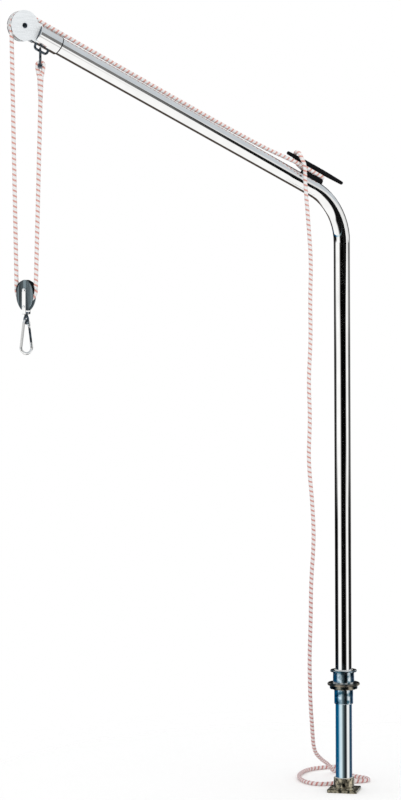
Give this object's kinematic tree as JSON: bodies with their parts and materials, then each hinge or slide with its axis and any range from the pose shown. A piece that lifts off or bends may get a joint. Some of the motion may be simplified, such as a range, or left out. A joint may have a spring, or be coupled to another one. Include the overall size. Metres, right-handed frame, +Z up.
{
  "type": "davit crane",
  "caption": "Swivelling bent-tube davit with deck bush and foot cup, head sheave, horn cleat and a rope tackle ending in a swivel snap hook.",
  "frame": {"origin": "centre of the foot plate's underside, on the mast's axis", "axes": "+Z up along the mast, the arm towards -X, the near side of the cleat towards -Y"},
  "size_m": [1.1017, 0.3293, 1.9416],
  "materials": {
    "polished_steel": "mirror polished",
    "foot_steel": "polished, dark reflections",
    "nylon": "plain nylon",
    "black_plastic": "satin black",
    "bronze": "plain",
    "rope": "braided, white with coloured flecks"
  },
  "bodies": {
    "base": {"base_plate": "foot_steel", "foot_cup": "foot_steel", "foot_bush": "nylon", "deck_bush": "polished_steel", "bush_liner": "nylon", "clamp_ring": "polished_steel", "ring_nut": "polished_steel"},
    "mast": {"mast_tube": "polished_steel", "mast_end_plug": "nylon", "head_fork": "polished_steel", "head_axle": "polished_steel", "head_axle_nut": "polished_steel", "head_washers": "nylon", "eye_strap": "polished_steel", "cleat": "black_plastic", "cleat_screws": "polished_steel", "rope_arm_run": "rope", "rope_cleat_turns": "rope", "rope_tail": "rope", "rope_end_whipping": "rope"},
    "head_wheel": {"head_sheave": "nylon", "head_sheave_bush": "bronze"},
    "tackle": {"shackle_bow": "polished_steel", "shackle_pin": "polished_steel", "rope_eye_splice": "rope", "rope_hauling_fall": "rope", "rope_dead_end_fall": "rope"},
    "block": {"block_cheek_near": "black_plastic", "block_cheek_far": "black_plastic", "block_strap": "polished_steel", "block_axle": "polished_steel", "block_rivet": "polished_steel", "block_spacer": "polished_steel", "rope_block_wrap": "rope"},
    "block_wheel": {"block_sheave": "black_plastic", "block_sheave_bush": "bronze"},
    "swivel": {"swivel_eye": "polished_steel", "swivel_nut": "polished_steel"},
    "hook": {"snap_hook": "polished_steel", "gate_pin": "polished_steel"},
    "gate": {"hook_gate": "polished_steel", "gate_spring": "polished_steel"}
  },
  "joints": [
    {"name": "mast_swivel", "type": "hinge", "parent": "base", "child": "mast", "pos_m": [0, 0, 0], "axis": [0, 0, 1], "continuous": true},
    {"name": "head_sheave_spin", "type": "hinge", "parent": "mast", "child": "head_wheel", "pos_m": [-0.913, 0, 1.90508], "axis": [0, 1, 0], "continuous": true},
    {"name": "tackle_sway", "type": "hinge", "parent": "mast", "child": "tackle", "pos_m": [-0.86679, 0, 1.84697], "axis": [0.9118, 0, -0.4107], "range_deg": [-20, 20]},
    {"name": "block_hoist", "type": "slide", "parent": "tackle", "child": "block", "axis": [0, 0, 1], "range_m": [-0.75, 0.28], "deforming": ["rope_hauling_fall", "rope_dead_end_fall"]},
    {"name": "block_sheave_spin", "type": "hinge", "parent": "block", "child": "block_wheel", "pos_m": [-0.907, 0, 1.2805], "axis": [0.8039, 0.5948, 0], "continuous": true},
    {"name": "swivel_spin", "type": "hinge", "parent": "block", "child": "swivel", "pos_m": [-0.907, 0, 1.224], "axis": [0, 0, 1], "continuous": true},
    {"name": "hook_swing", "type": "hinge", "parent": "swivel", "child": "hook", "pos_m": [-0.907, 0, 1.202], "axis": [0, 1, 0], "range_deg": [-50, 50]},
    {"name": "gate_open", "type": "hinge", "parent": "hook", "child": "gate", "pos_m": [-0.8988, 0, 1.19152], "axis": [0, 1, 0], "range_deg": [0, 22], "stiffness_Nm_per_rad": 0.05, "springref_deg": -17.19}
  ],
  "couplings": [
    {"joint": "head_sheave_spin", "follows": "block_hoist", "rad_per_m": -66.667},
    {"joint": "block_sheave_spin", "follows": "block_hoist", "rad_per_m": 40}
  ]
}
